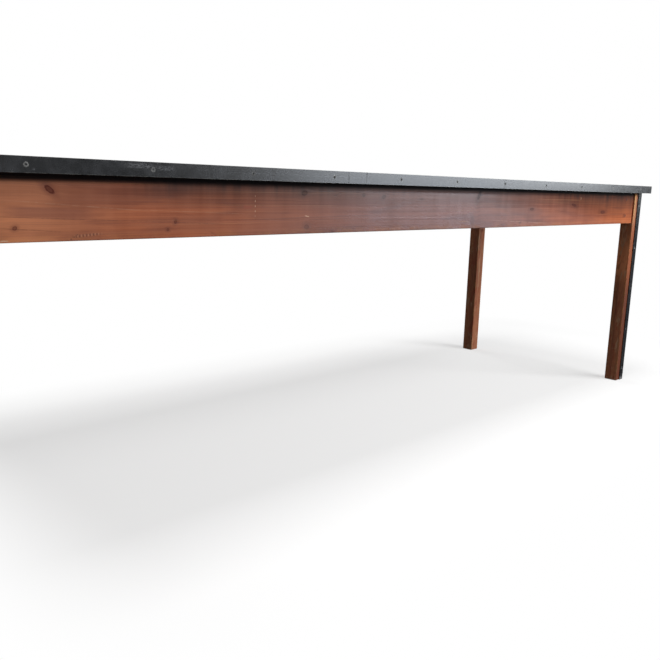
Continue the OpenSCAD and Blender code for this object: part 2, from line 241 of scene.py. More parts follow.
def stroke(g, along, across, at, size, tilt=0.0, pitch=0):
    """A mark of that length and height at that place. With a pitch it is broken into ticks."""
    u, v = turned(g, along, across, at, tilt)
    mask = 1.0
    for value, whole in ((u, size[0] * MM), (v, size[1] * MM)):
        mask = g.mul(g.fade(g.size(value), 0.25 * whole, 0.55 * whole), mask)
    if pitch:
        longer = u if size[0] > size[1] else v
        tick = to_row(g, longer, (0.0, pitch * MM))
        mask = g.mul(g.fade(tick, 0.1 * pitch * MM, 0.25 * pitch * MM), mask)
    return mask


# Pine


class Knots:
    """What a board's knots do to its grain: how far they push it aside, and where they darken it."""

    def __init__(self, g, along, across):
        self.g = g
        self.along, self.across = along, across
        self.core = self.halo = 0.0

    def add(self, d_along, d_across, radius, depth):
        """One knot, or one cell of scattered knots, at those distances from its middle."""
        g = self.g
        share = g.math("DIVIDE", g.length(d_along, d_across), radius)
        near = g.math("EXPONENT", g.mul(g.mul(share, share), -0.22))
        self.across = g.sub(self.across, g.mul(g.mul(d_across, near), 0.75))
        edge = g.noise(g.vector(d_along, d_across, 0.0), (420, 420, 1), 1)
        ragged = g.mad(edge, 0.5, g.sub(share, 0.25))
        rings = g.mad(g.math("SINE", g.mul(share, 11.0)), 0.1, g.step(share, 0.2, 0.8, 0.62, 0.9))
        core = g.mul(g.mul(g.fade(ragged, 0.75, 1.1), rings), depth)
        self.core = g.most(self.core, core)
        halo = g.mul(g.fade(share, 0.7, 2.8), depth)
        self.halo = g.most(self.halo, halo)

    def place(self, along, across, length, width, tilt, depth):
        """A knot of that length and width, turned by tilt degrees."""
        u, v = turned(self.g, self.along, self.across, (along, across), tilt)
        self.add(self.g.mul(u, width / length), v, width * MM / 2, depth)

    def scatter(self, cell_along, cell_across, smallest, largest, rarity):
        """Knots strewn one to a cell. rarity is the share of the cells that stay empty."""
        g = self.g
        cells = g.vector(g.mul(self.along, 1 / cell_along), g.mul(self.across, 1 / cell_across), 0.0)
        voronoi = g.node("TexVoronoi", voronoi_dimensions="2D", feature="F1")
        g.fill(voronoi, Vector=cells, Scale=1.0, Randomness=0.85)
        x, y, _ = g.split(cells)
        px, py, _ = g.split(voronoi.outputs["Position"])
        size, depth, _ = g.split(voronoi.outputs["Color"])
        radius = g.step(size, rarity, 1.0, smallest, largest)
        there = g.step(size, rarity - 0.02, rarity)
        d_along = g.mul(g.sub(x, px), cell_along * 0.7)
        d_across = g.mul(g.sub(y, py), cell_across)
        self.add(d_along, d_across, radius, g.mul(there, g.mad(depth, 0.4, 0.6)))


# Steps of the front apron's stain, wax and painted light and shade: from where to where along it or up it,
# and from what to what
# The first step lightens the front apron low down: painted light
LOW_PAINTED_LIGHT = (0.622, 0.668, 0.33, 0.07)
LEFT_BLEACHED = (-1.04, -0.8, 0.42)
# The next steps paint shade below the top's overhang: a haze further down and the black corner
HAZE_SHADE_REACH = (0.5, 1.0, 70 * MM, 125 * MM)
HAZE_SHADE_CHANGES = ((-0.93, -0.76, 0.2, 1.0), (-0.4, 0.0, 1.0, 0.65))
HAZE_SHADE_MORE = (0.45, 0.85, 0.0, 0.6)
HAZE_SHADE_TOP = (2 * MM, 30 * MM, 0.6)
CORNER_SHADE_SOLID = (-1.0, -0.3, 8 * MM, 3 * MM)
APRON_MIDDLE = 0.66
WAX_LEAN = (-0.1, 0.5, -1.6, 4.5)
RIGHT_DULLED = (0.8, 1.1, 0.0, 0.25)
# What the stained stretch does to the colour, and the waxed one to the roughness
STAIN_TINT = (0.31, 0.31, 0.43, 1.0)
WAX_SHINE = 0.42
# Marks finer than this, in millimetres, are drawn broken
FINE_MARK = 8

# Steps of the legs' colour and painted light and shade up from the floor, and how far clouds in the stain
# lift or lower them
LEG_CLOUDS = 0.06
# Where the strip beside the steel turns pale, partly wear and partly painted light, and warmer and darker,
# partly tone and partly painted shade
STRIP_PALE_AND_LIT = (0.60, 0.70)
STRIP_WARM_AND_SHADED = (0.58, 0.69, 0.85)
# From where to where the legs' outer faces darken near the floor: painted shade
STRIP_LOW_SHADE = (0.34, 0.5)
# Where the legs' inner faces are lit up half way: painted light
INNER_LIGHT_FROM = (0.36, 0.46)
INNER_LIGHT_TO = (0.49, 0.62, 0.9)
INNER_LIGHT_IN_FRONT = (-0.1, 0.1, 1.0, 0.1)
# The dirt along the steel, and how far inside a leg's box its worn outer faces may lie
STRIP_DIRT = (0.5 * MM, 9 * MM, 0.6)
SKIN = 0.4 * MM

BLEACHED = srgb(218, 152, 110)
# Painted shade below the top's overhang: a thin haze and the black corner
PAINTED_HAZE_SHADE = srgb(28, 14, 12)
PAINTED_CORNER_SHADE = srgb(26, 6, 3)
JOINT_DIRT = srgb(26, 17, 12)
# A warm tone that also darkens the strips lower down: partly tone, partly painted shade
WARM_AND_SHADED = srgb(146, 74, 36)
# Painted shade low on the legs
PAINTED_LOW_SHADE = srgb(70, 30, 18)
# Painted light on the legs' inner faces
PAINTED_INNER_LIGHT = srgb(244, 160, 112)
RUST = srgb(150, 66, 42)
CHALK = srgb(206, 168, 134)
PALE = srgb(214, 172, 140)
DARK = srgb(52, 28, 22)


class Wood:
    """A pine material that is being made. The mesh says in its attribute grain how far each point lies
    along the board, across it and through it from the heart of the tree, and in wear how much its edges
    have rubbed."""

    def __init__(self, name, look, knots_at):
        g = self.g = Graph(name)
        self.look = look
        self.grain = g.attribute("grain", "Vector")
        self.wear = g.attribute("wear", "Fac")
        self.along, self.across, self.through = g.split(self.grain)
        self.knots = Knots(g, self.along, self.across)
        for spot in knots_at:
            self.knots.place(*spot)
        if look["scatter"]:
            self.knots.scatter(*look["scatter"])

    def paint(self, color, share, *others, blend="MIX"):
        """Lays color on where all the shares are 1."""
        for other in others:
            share = self.g.mul(share, other)
        self.color = self.g.mix(share, self.color, color, blend)

    def roughen(self, share, amount):
        self.roughness = self.g.mad(share, amount, self.roughness)


def find_rings(wood):
    """The dark late wood of each year. The heart wanders, so that the rings run out through the face in
    long flames."""
    g, wander = wood.g, wood.look["wander"]
    heart = g.mad(g.noise(wood.grain, (0.9, 0, 0), 1), wander, -0.5 * wander)
    deep = g.mad(g.noise(wood.grain, (0.7, 0, 0.01), 1), wander, -0.5 * wander)
    radius = g.length(g.add(wood.knots.across, heart), g.add(wood.through, deep))
    drift = g.noise(wood.grain, (1.4, 24, 24))
    count = g.mad(radius, 1 / wood.look["ring"], g.mul(drift, 4.0))
    season = g.math("FRACT", count)
    late = g.mul(g.step(season, 0.25, 0.88), g.fade(season, 0.92, 1.0))
    own = g.white(g.math("FLOOR", count))
    wood.late = g.mul(late, g.mad(g.mul(own, own), 0.85, 0.15))


def find_streaks(wood):
    """Fine and broad streaks that bend round the knots, and wide clouds."""
    g = wood.g
    wood.bent = g.vector(wood.along, wood.knots.across, wood.through)
    wood.fibre = g.noise(wood.bent, (9, 950, 950), 2, 0.6)
    wood.streak = g.noise(wood.bent, (1.6, 150, 150), 3, 0.62)
    wood.band = g.noise(wood.bent, (0.8, 22, 22))
    wood.cloud = g.noise(wood.grain, (1.7, 5, 5))


def stain(wood):
    """The tones that the stain gives the rings and streaks, its clouds and blots, and painted light low on
    the front apron.
    """
    g, look = wood.g, wood.look
    tone = g.mul(g.step(wood.streak, 0.3, 0.72), look["streak"])
    tone = g.mad(wood.late, look["late"], tone)
    tone = g.mad(g.step(wood.band, 0.32, 0.7), look["band"], tone)
    tone = g.mad(g.sub(wood.fibre, 0.5), look["fibre"], tone)
    wood.brush = g.noise(wood.grain, (34, 5, 5))
    tone = g.mad(g.sub(wood.brush, 0.5), look["brush"], tone)
    if look["stained"]:
        # Painted light: the front apron is made lighter towards its bottom
        tone = g.sub(tone, g.step(wood.across, *LOW_PAINTED_LIGHT))
    wood.color = g.mix(tone, look["light"], look["dark"])
    if look["stained"]:
        wood.paint(BLEACHED, g.fade(wood.along, *LEFT_BLEACHED))
    wood.paint(look["stain"], g.step(wood.cloud, 0.42, 0.75), look["cloud"])
    wood.paint(look["halo"], g.patches(wood.bent, (5, 26, 26), 0.5, 0.72, 2, 0.5, 0.6), look["blot"])


def split_and_knot(wood):
    """Fine drying cracks here and there, and the colour of the knots."""
    g, look = wood.g, wood.look
    line = g.gap(g.noise(wood.bent, (1.1, 24, 24)), 0.5)
    gate = g.patches(wood.grain, (2.4, 14, 14), 0.5, 0.62, 1)
    wood.split = g.mul(g.mul(g.fade(line, 0.0, 0.006), gate), look["splits"])
    wood.paint(look["knot"], wood.split)
    wood.paint(look["halo"], wood.knots.halo, 0.55)
    wood.paint(look["knot"], wood.knots.core, 0.9)


def darken_stretch(wood):
    """The long stretch that took more stain."""
    g = wood.g
    taken = stretch(g, wood.along, wood.look["stained"])
    wood.paint(STAIN_TINT, taken, g.mad(wood.band, 0.5, 0.75), blend="MULTIPLY")


def paint_overhang_shade(wood):
    """Painted shade under the top's overhang, black in the corner, and a thinner haze of painted shade
    further down.
    """
    g, look, front = wood.g, wood.look, wood.look["stained"]
    drop = g.sub(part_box("apron_front")[1].z, g.split(g.place())[2])
    drop = g.mad(g.sub(wood.cloud, 0.5), 8 * MM, drop)
    reach = g.step(wood.along, *HAZE_SHADE_REACH) if front else HAZE_SHADE_REACH[2]
    haze = g.mul(g.fade(drop, 2 * MM, reach), look["haze"])
    haze = g.mul(haze, g.mad(g.noise(wood.grain, (50, 3, 3), 3, 0.6), 0.7, 0.65))
    if front:
        for change in HAZE_SHADE_CHANGES:
            haze = g.mul(haze, g.step(wood.along, *change))
        haze = g.mad(haze, g.step(wood.along, *HAZE_SHADE_MORE), haze)
        haze = g.most(haze, g.fade(drop, *HAZE_SHADE_TOP))
    wood.paint(PAINTED_HAZE_SHADE, haze)
    solid = g.step(wood.along, *CORNER_SHADE_SOLID) if front else CORNER_SHADE_SOLID[2]
    wood.grime = g.fade(drop, solid, 18 * MM, look["grime"])
    wood.haze = haze
    wood.paint(PAINTED_CORNER_SHADE, wood.grime)


def age_top(wood):
    """Each board of the top has its own tone, and its high spots are worn pale. Dirt sits in the joints
    and along the steel."""
    g, look = wood.g, wood.look
    x, y, _ = g.split(g.place())
    own = g.white(g.math("ROUND", g.mul(y, 1 / BOARD_PITCH)))
    wood.paint(look["stain"], own, 0.55)
    wood.paint(look["bare"], g.patches(wood.bent, (2.4, 13, 13), 0.5, 0.78, 3, 0.6, 0.5), 0.5)
    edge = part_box("plank_1")[0]
    rim = g.least(g.sub(-edge.x, g.size(x)), g.sub(-edge.y, g.size(y)))
    joint = g.least(to_row(g, y, (BOARD_PITCH / 2, BOARD_PITCH)), rim)
    spread = g.mad(wood.streak, 2.5 * MM, 1.2 * MM)
    wood.paint(JOINT_DIRT, g.fade(joint, 0.6 * MM, spread), look["joints"])


def scratch_and_rub(wood):
    """Fine light scratches along the board, and rubbed arrises."""
    g, look = wood.g, wood.look
    scratch = g.patches(wood.grain, (2.2, 600, 600), 0.765, 0.8, 0)
    wood.scratch = g.mul(scratch, g.step(wood.cloud, 0.35, 0.6, 0.1, 1.0))
    wood.paint(look["bare"], wood.scratch, look["scratch"])
    wood.rub = g.mul(wood.wear, g.patches(wood.grain, (24, 60, 60), 0.42, 0.66, 3, 0.7))
    wood.paint(look["bare"], wood.rub, look["rub"])


def wax(wood):
    """The waxed stretch of the front apron, whose ends lean, and a duller right end."""
    g = wood.g
    lean = g.mul(g.sub(wood.across, APRON_MIDDLE), g.step(wood.along, *WAX_LEAN))
    leaning = g.add(wood.along, lean)
    wood.roughen(stretch(g, leaning, wood.look["waxed"]), -WAX_SHINE)
    wood.roughness = g.add(wood.roughness, g.step(leaning, *RIGHT_DULLED))
    wood.roughen(g.sub(wood.streak, 0.5), 0.3)
    wood.roughen(g.sub(wood.brush, 0.5), 0.2)


def set_roughness(wood):
    g, look = wood.g, wood.look
    wood.roughness = g.mad(wood.fibre, 0.12, look["roughness"])
    wood.roughen(wood.late, -0.05)
    if look["waxed"]:
        wax(wood)
    # Under the overhang, where shade is painted, the wood is also rougher
    if look["grime"]:
        wood.roughen(wood.haze, 0.08)
        wood.roughness = g.mad(wood.grime, g.sub(1.0, wood.roughness), wood.roughness)
    wood.roughen(wood.knots.core, 0.2)
    wood.roughen(wood.rub, 0.15)


def set_height(wood):
    wood.height = wood.g.mul(wood.fibre, 0.45)
    for share, rise in ((wood.late, 0.45), (wood.streak, 0.35), (wood.knots.core, -0.5),
                        (wood.scratch, -0.4), (wood.split, -2.0)):
        wood.height = wood.g.mad(share, rise, wood.height)


def draw_marks(wood):
    g = wood.g
    broken = g.step(g.noise(wood.grain, (90, 320, 320), 3, 0.7), 0.36, 0.58, 0.15, 1.0)
    for at, size, tilt, pitch, ink, strength in wood.look["marks"]:
        fine = min(size) < FINE_MARK and not pitch
        mask = stroke(g, wood.along, wood.across, at, size, tilt, pitch)
        wood.paint(ink, mask, broken if fine else 1.0, strength)


def age_leg(wood):
    """The strip beside a leg's steel, and the faces that look away from it."""
    g = wood.g
    x, y, z = g.split(g.place())
    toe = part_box("leg_angle_back_right")[0]
    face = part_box("leg_back_right")[1]
    wide, deep = g.size(x), g.size(y)
    on_front = g.math("GREATER_THAN", deep, face.y - SKIN)
    on_end = g.math("GREATER_THAN", wide, face.x - SKIN)
    beside = g.add(g.mul(on_front, g.sub(toe.x, wide)), g.mul(on_end, g.sub(toe.y, deep)))
    outside = g.most(on_front, on_end)
    age_strip(wood, z, beside, outside)
    age_inner_faces(wood, y, z, g.sub(1.0, outside))


def age_strip(wood, z, beside, outside):
    """Dirty along the steel, paler towards the inner arris high up and warmer and darker lower down, partly
    wear and tone and partly painted light and shade, and painted shade near the floor.
    """
    g, look = wood.g, wood.look
    level = g.mad(wood.cloud, LEG_CLOUDS, z)
    # Pale towards the inner arris high up: partly wear, partly painted light
    worn = g.step(g.mad(wood.streak, 8 * MM, beside), 12 * MM, 21 * MM)
    wood.paint(look["bare"], worn, g.step(level, *STRIP_PALE_AND_LIT, 0.0, look["strip"]), outside)
    wood.paint(look["knot"], g.fade(beside, *STRIP_DIRT), outside)
    # Warmer and darker lower down: partly the wood's tone, partly painted shade
    wood.paint(WARM_AND_SHADED, g.fade(level, *STRIP_WARM_AND_SHADED), outside)
    # Painted shade low on the legs' outer faces
    wood.paint(PAINTED_LOW_SHADE, g.fade(level, *STRIP_LOW_SHADE, look["low_shade"]), outside)


def age_inner_faces(wood, y, z, inside):
    """Painted light half way up, most on the legs in front, with rusty and chalky flecks."""
    g = wood.g
    # Painted light half way up the inner faces
    inner_light = g.mul(g.step(z, *INNER_LIGHT_FROM), g.fade(z, *INNER_LIGHT_TO))
    wood.paint(PAINTED_INNER_LIGHT, inner_light, g.step(y, *INNER_LIGHT_IN_FRONT), inside)
    rust = g.patches(wood.grain, (16, 50, 50), 0.52, 0.62, 3, 0.6, 0.4)
    wood.paint(RUST, rust, inside, 0.45)
    chalk = g.patches(wood.grain, (13, 60, 60), 0.53, 0.64, 3, 0.65, 0.6)
    wood.paint(CHALK, chalk, inside, 0.6)


def pine(name, look, knots_at=()):
    """The material of a look, with knots at the places given and strewn ones where the look says so."""
    wood = Wood(name, look, knots_at)
    find_rings(wood)
    find_streaks(wood)
    stain(wood)
    split_and_knot(wood)
    for trait, work in (("stained", darken_stretch), ("grime", paint_overhang_shade), ("joints", age_top)):
        if look[trait]:
            work(wood)
    scratch_and_rub(wood)
    set_roughness(wood)
    set_height(wood)
    for trait, work in (("marks", draw_marks), ("strip", age_leg)):
        if look[trait]:
            work(wood)
    normal = wood.g.bump(wood.height, look["relief"])
    return wood.g.surface(wood.color, wood.roughness, normal, IOR=1.48, Specular_IOR_Level=look["gloss"])


# A look's colours: light and dark for its streaks, stain for its clouds, halo and knot for its knots,
# and bare for what is rubbed. ring is the width of a year, wander how far the heart strays, and scatter
# what strewn knots need. stained and waxed are stretches along the board. The rest are strengths.
FRAME_LOOK = dict(
    light=srgb(200, 118, 70), dark=srgb(120, 60, 38), stain=srgb(126, 64, 46),
    halo=srgb(112, 52, 34), knot=srgb(58, 24, 22), bare=srgb(222, 168, 116),
    ring=4.2 * MM, wander=0.05, late=0.36, streak=0.55, band=0.35, fibre=0.3, brush=0.3, cloud=0.5,
    # Two of these strengths are of the shade painted under the top's overhang: its black corner and its haze
    blot=0.25, splits=0.35, scratch=0.35, rub=0.5, grime=0.92, haze=0.6,
    roughness=0.44, relief=0.22 * MM, gloss=0.3, scatter=(0.33, 0.11, 2.5 * MM, 9 * MM, 0.62),
    stained=None, waxed=None, joints=None, strip=None, marks=(),
)

# Place along and up, length and height, tilt, pitch of ticks, colour and strength of each mark. Lengths,
# heights and pitches are in millimetres.
APRON_MARKS = (
    ((-1.01, 0.669), (170, 22), -3, 0, srgb(112, 58, 50), 0.45),
    ((-0.74, 0.648), (200, 40), 0, 0, srgb(122, 66, 46), 0.3),
    ((-0.87, 0.655), (620, 1.8), -2.3, 0, DARK, 0.35),
    ((-1.04, 0.6415), (130, 1.8), -4, 0, DARK, 0.35),
    ((0.852, 0.7108), (4, 9), 0, 0, PALE, 0.6),
    ((-1.086, 0.6245), (16, 2.2), 0, 40, PALE, 1.0),
    ((-0.95, 0.6815), (290, 2.4), -4, 0, PALE, 0.15),
    ((-0.72, 0.6705), (330, 2), -2, 0, PALE, 0.12),
    ((-0.972, 0.6245), (40, 3), 32, 7, DARK, 0.6),
    ((-0.943, 0.6305), (60, 6), 4, 6.5, DARK, 0.5),
    ((-0.94, 0.631), (60, 5), 4, 6.5, PALE, 0.18),
    ((-0.585, 0.680), (26, 9), 0, 0, srgb(150, 66, 40), 0.4),
    ((-0.5655, 0.682), (2, 52), 0, 10.5, PALE, 0.6),
    ((-0.417, 0.660), (16, 2), -12, 0, PALE, 0.75),
    ((-0.26, 0.660), (200, 2), 0, 0, DARK, 0.3),
    ((0.175, 0.641), (70, 2), 0, 0, PALE, 0.35),
    ((0.48, 0.6365), (360, 2), -2.1, 0, PALE, 0.3),
    *((dot, (24, 18), 0, 0, srgb(96, 40, 24), 0.5) for dot in BRACE_DOTS),
)
APRON_LOOK = dict(
    FRAME_LOOK, light=srgb(204, 112, 62), dark=srgb(140, 66, 40), knot=srgb(82, 24, 16),
    band=0.2, brush=0.5, fibre=0.2, blot=0.4, scratch=0.12, rub=0.12, haze=0.85,
    roughness=0.7, relief=0.12 * MM, gloss=0.5, scatter=None, marks=APRON_MARKS,
    stained=(-1.1, -0.1, 0.3, 0.95), waxed=(-0.76, -0.16, 0.3, 0.9),
)
LEG_LOOK = dict(
    FRAME_LOOK, light=srgb(202, 132, 94), dark=srgb(132, 76, 54), bare=srgb(200, 150, 98),
    # The last strength is of the shade painted low on the legs
    grime=0.7, haze=0.3, roughness=0.62, gloss=0.25, strip=0.75, low_shade=0.65,
)
TOP_LOOK = dict(
    FRAME_LOOK, light=srgb(196, 152, 116), dark=srgb(118, 76, 50), stain=srgb(128, 86, 60),
    halo=srgb(104, 62, 40), knot=srgb(40, 24, 17), bare=srgb(214, 184, 154),
    ring=5.5 * MM, wander=0.1, late=0.5, streak=0.45, cloud=0.6, blot=0.7, brush=0.2, splits=0.9,
    roughness=0.56, relief=0.4 * MM, gloss=0.35, scatter=(0.42, 0.17, 4 * MM, 15 * MM, 0.5),
    grime=None, joints=0.9,
)
INNER_LOOK = dict(
    FRAME_LOOK, light=srgb(206, 166, 118), dark=srgb(160, 112, 70), stain=srgb(176, 130, 86),
    halo=srgb(150, 96, 60), knot=srgb(92, 52, 34), bare=srgb(222, 190, 146),
    roughness=0.5, gloss=0.4, grime=None,
)

# Knots of the front apron: along and up, length and width in millimetres, tilt, depth
APRON_KNOTS = (
    (-1.007, 0.709, 22, 10, -40, 1.0),
    (-1.068, 0.645, 9, 7, 20, 0.8),
    (-0.761, 0.652, 9, 7, 60, 0.8),
    (-0.778, 0.637, 7, 6, 0, 0.7),
    (-0.426, 0.711, 20, 12, 10, 0.75),
    (-0.418, 0.636, 16, 12, 0, 0.55),
    (-0.233, 0.709, 12, 9, 0, 0.6),
    (-0.160, 0.705, 16, 10, 20, 0.55),
    (-0.337, 0.624, 8, 6, 0, 0.6),
    (-0.011, 0.7015, 16, 6, 0, 0.4),
    (0.248, 0.714, 30, 12, 60, 0.85),
    (0.222, 0.6415, 34, 18, 80, 0.3),
    (0.539, 0.675, 24, 9, 0, 0.8),
    (0.475, 0.634, 12, 6, 0, 0.5),
    (0.807, 0.688, 34, 10, -10, 0.8),
    (1.022, 0.664, 36, 12, 0, 0.85),
)


# Steel

BLACKING = srgb(26, 28, 31)
WORN_BLACKING = srgb(44, 46, 50)
BLACK_STREAK = srgb(20, 21, 23)
SPECK = srgb(92, 92, 92)
ZINC = srgb(196, 198, 198)
DULL_ZINC = srgb(150, 150, 146)
SOOT = srgb(18, 18, 20)
SCUFF = srgb(110, 112, 118)
# Marks of the front bar: place along and up, length and height in millimetres, colour, strength and
# added roughness
BAR_MARKS = (
    ((-0.53, 0.7485), (12, 40), SOOT, 0.9, -0.07),
    ((-0.304, 0.7485), (5, 40), SOOT, 0.7, 0.3),
    ((-0.243, 0.7485), (5, 40), SOOT, 0.7, 0.3),
    ((0.35, 0.7485), (14, 40), SOOT, 0.5, 0.14),
    ((1.06, 0.7485), (70, 40), SOOT, 0.6, 0.12),
    ((-0.845, 0.7545), (64, 10), SCUFF, 0.5, 0.1),
    ((-0.795, 0.7515), (52, 10), SCUFF, 0.35, 0.1),
    ((-1.039, 0.7412), (5, 3), SCUFF, 0.9, 0.1),
    ((-0.45, 0.7492), (440, 1.6), SCUFF, 0.4, 0.0),
)


def ring_distance(g, across, along):
    """How far a point is from the edge of the screw head whose middle lies that far across and along."""
    return g.gap(g.length(across, along), HEAD_REACH)


def to_bar_rim(g, x, y, z):
    wide, deep = g.size(x), g.size(y)
    low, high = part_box("edge_bar_front")
    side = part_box("edge_bar_right")[1].x
    heights = g.least(g.sub(high.z, z), g.gap(z, low.z))
    corner = g.most(g.sub(side, wide), g.sub(-low.y, deep))
    up = g.sub(z, (low.z + high.z) / 2)
    # Each pair of bars has its own screws, and those of the other pair are put out of reach
    end_start = side - 4 * MM
    on_end = g.math("GREATER_THAN", wide, end_start)
    long_ring = ring_distance(g, up, g.add(to_row(g, x, BAR_SCREWS), on_end))
    on_long = g.math("LESS_THAN", wide, end_start)
    end_ring = ring_distance(g, up, g.add(to_row(g, y, END_SCREWS), on_long))
    return g.least(g.least(heights, corner), g.least(long_ring, end_ring))


def to_angle_rim(g, x, y, z):
    wide, deep = g.size(x), g.size(y)
    inner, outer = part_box("leg_angle_back_right")
    corner = g.most(g.gap(outer.x, wide), g.gap(outer.y, deep))
    toe = g.least(g.gap(inner.x, wide), g.gap(inner.y, deep))
    front_ring = ring_distance(g, g.sub(wide, outer.x - ANGLE_INSET), to_row(g, z, ANGLE_SCREWS))
    low_row = (ANGLE_SCREWS[0] - ANGLE_STEP, ANGLE_SCREWS[1])
    end_ring = ring_distance(g, g.sub(deep, outer.y - ANGLE_INSET), to_row(g, z, low_row))
    return g.least(g.least(corner, toe), g.least(front_ring, end_ring))


def rim_distance(g, place):
    """How far a point of the steel is from its nearest arris or screw head."""
    x, y, z = g.split(place)
    on_bar = to_bar_rim(g, x, y, z)
    on_leg = to_angle_rim(g, x, y, z)
    bar_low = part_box("edge_bar_front")[0].z
    above = g.step(z, bar_low - 0.1 * MM, bar_low)
    return g.mad(above, g.sub(on_bar, on_leg), on_leg)


def black_steel(name, rims=True, marks=(), shine=112, dull=0.12):
    """Blackened and waxed steel, rubbed bright along its rims, or where the attribute wear says."""
    g = Graph(name)
    place = g.place()
    mottle = g.noise(place, (38, 38, 38), 4, 0.6)
    grit = g.noise(place, (520, 520, 520), 3, 0.6)
    streak = g.noise(place, (70, 70, 3))
    wear = g.fade(rim_distance(g, place), 0.2 * MM, 1.4 * MM) if rims else g.attribute("wear", "Fac")
    color = g.mix(g.step(mottle, 0.3, 0.75), BLACKING, WORN_BLACKING)
    color = g.mix(g.mul(g.step(streak, 0.55, 0.75), 0.5), color, BLACK_STREAK)
    color = g.mix(g.mul(g.step(grit, 0.66, 0.74), 0.35), color, SPECK)
    rub = g.mul(wear, g.patches(place, (90, 90, 90), 0.38, 0.6, 3, 0.7))
    color = g.mix(g.mul(rub, 0.7), color, srgb(shine, shine, shine - 2))
    roughness = g.mad(mottle, 0.14, g.mad(grit, 0.1, dull))
    for at, size, ink, strength, rougher in marks:
        x, _, z = g.split(place)
        broken = g.patches(place, (160, 160, 420), 0.4, 0.62, 3, 0.75)
        mask = g.mul(stroke(g, x, z, at, size), broken)
        color = g.mix(g.mul(mask, strength), color, ink)
        roughness = g.mad(mask, rougher, roughness)
    height = g.mad(mottle, 0.6, g.mul(grit, 0.3))
    return g.surface(color, roughness, g.bump(height, 0.08 * MM), Metallic=g.mul(rub, 0.4), IOR=1.6)


def zinc(name):
    """Zinc plate with a fine grain and dull spots."""
    g = Graph(name)
    place = g.place()
    spots = g.noise(place, (260, 260, 260), 3, 0.6)
    fine = g.noise(place, (1600, 1600, 1600), 2, 0.6)
    color = g.mix(g.step(spots, 0.35, 0.7), ZINC, DULL_ZINC)
    return g.surface(color, g.mad(spots, 0.25, 0.22), g.bump(fine, 0.05 * MM), Metallic=1.0)


# Meshes

# Edges that turn more than this are sharp, in degrees
SHARP = 35
# How long the shallow waves of a worn arris are
WAVE = 50 * MM
# Steps from section to section along a board
PLANK_STEP = 30 * MM
APRON_STEP = 20 * MM
LEG_STEP = 15 * MM
# Rounds of the arrises. Of a pair, the first is the round of a new one, and the second the depth of wear.
PLANK_EASE = (0.8 * MM, 0.7 * MM)
SIDE_EASE = 0.3 * MM
APRON_EASE = (1.2 * MM, 0.9 * MM)
LEG_EASE = (1.3 * MM, 0.8 * MM)
FOOT_EASE = 1.5 * MM
STEEL_EASE = 0.4 * MM
INNER_EASE = 1.0 * MM
# How much the boards of the top are cupped
PLANK_CUP = 0.12 * MM
# How far the front apron, and each inner piece, lies from the heart of its tree
FRONT_HEART = 0.06
INNER_HEART = 0.05
# The two directions of a section
SIDE = Vector((1, 0))
UP = Vector((0, 1))
ZINC_NODES = ("hanger_bolts", "hanger_washers", "hanger_nuts", "batten_screws", "top_clips", "clip_screws")
DRESSED = []


def finish_piece(obj, material, node):
    """Dresses a piece, rides it on the table and lets it stand for its CAD node."""
    mesh = obj.data
    mesh.materials.append(material)
    mesh.shade_smooth()
    mesh.set_sharp_from_angle(angle=math.radians(SHARP))
    DRESSED.append(obj)
    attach(obj, "root")
    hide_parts(node)


def flatten_faces():
    """Lets large faces shade flat, so that the small rounds carry the turn between them."""
    for obj in DRESSED:
        obj.modifiers.new("weigh", "WEIGHTED_NORMAL").keep_sharp = True
    bpy.context.view_layer.update()
    graph = bpy.context.evaluated_depsgraph_get()
    for obj in DRESSED:
        mesh = bpy.data.meshes.new_from_object(obj.evaluated_get(graph))
        obj.modifiers.clear()
        obj.data = mesh


def new_object(name, data):
    obj = bpy.data.objects.new(name, data)
    bpy.context.scene.collection.objects.link(obj)
    return obj


def arc(corner, into_a, into_b, size, points=4):
    """Points that round a corner. into_a and into_b run from it along its two sides. Each has wear 1."""
    centre = Vector(corner) + (into_a + into_b) * size
    made = []
    for i in range(points):
        turn = 0.5 * math.pi * i / (points - 1)
        made.append((centre - (into_b * math.cos(turn) + into_a * math.sin(turn)) * size, 1.0))
    return made


def between(start, end, count):
    """Points between start and end, without either, and with no wear."""
    return [(Vector(start).lerp(Vector(end), i / (count + 1)), 0.0) for i in range(1, count + 1)]


def unworn(*points):
    return [(Vector(point), 0.0) for point in points]


def loft(bm, layer, rings):
    """Faces from each ring of (place, wear) pairs to the next, and one over each end."""
    made = []
    for ring in rings:
        verts = [bm.verts.new(place) for place, _ in ring]
        for vert, (_, wear) in zip(verts, ring):
            vert[layer] = wear
        made.append(verts)
    for low, high in zip(made, made[1:]):
        for i in range(len(low)):
            j = (i + 1) % len(low)
            bm.faces.new((low[i], low[j], high[j], high[i]))
    bm.faces.new(list(reversed(made[0])))
    bm.faces.new(made[-1])


def sweep(name, stations, section_at, to_world):
    """A closed bar. section_at(station) gives its section as (point, wear) pairs, always as many, and
    to_world(station, point) says where a point of it lies."""
    bm = bmesh.new()
    layer = bm.verts.layers.float.new("wear")
    loft(bm, layer, [[(to_world(s, point), wear) for point, wear in section_at(s)] for s in stations])
    bmesh.ops.recalc_face_normals(bm, faces=bm.faces)
    return filled_object(name, bm)


def cad_mesh(node):
    """A bmesh of a node's CAD mesh, with the vertices of its triangles welded."""
    bm = bmesh.new()
    bm.from_mesh(frame["nodes"][node].data)
    bmesh.ops.remove_doubles(bm, verts=bm.verts, dist=1e-6)
    return bm


def filled_object(name, bm):
    """An object with the mesh that bm holds. bm is freed."""
    mesh = bpy.data.meshes.new(name)
    bm.to_mesh(mesh)
    bm.free()
    return new_object(name, mesh)


